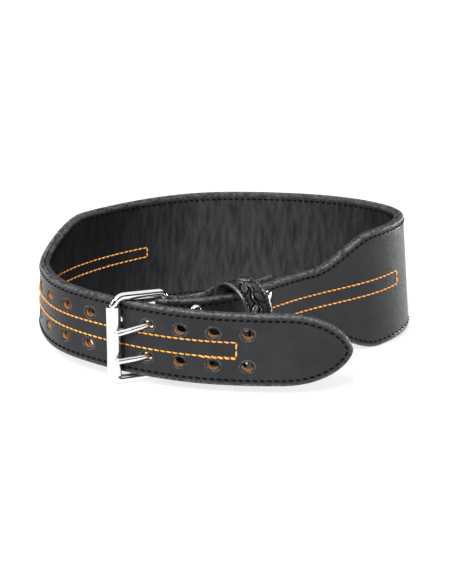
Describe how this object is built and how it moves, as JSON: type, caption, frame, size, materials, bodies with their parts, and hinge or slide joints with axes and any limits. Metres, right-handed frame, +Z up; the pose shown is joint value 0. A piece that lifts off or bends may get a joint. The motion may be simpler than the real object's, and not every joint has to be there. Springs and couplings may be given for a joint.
{
  "type": "weightlifting belt",
  "caption": "Black leather lifting belt, buckled into a loop: wide back panel, tapered arms, punched tongue, chrome roller buckle with two prongs, and a tooled keeper loop.",
  "frame": {"origin": "centre of the bounding box in plan, on the floor that the belt rests on", "axes": "+Z up, +X along the buckled front towards the tongue's tip, +Y from the buckle to the back panel"},
  "size_m": [0.3222, 0.2546, 0.1102],
  "materials": {
    "outer_leather": "smooth black leather, satin, with rounded and dyed edges",
    "lining_leather": "soft black leather lining, matt, with fine creases",
    "tooled_leather": "glossy black leather with deep tooling",
    "chrome": "polished chrome-plated steel"
  },
  "bodies": {
    "root": {"outer_leather": "outer_leather", "inner_leather": "lining_leather", "keeper_loop": "tooled_leather", "buckle_frame": "chrome", "buckle_roller": "chrome", "prong_upper": "chrome", "prong_lower": "chrome", "rivet_buckle_upper": "chrome", "rivet_buckle_lower": "chrome", "rivet_keeper_upper": "chrome", "rivet_keeper_lower": "chrome"}
  },
  "joints": []
}
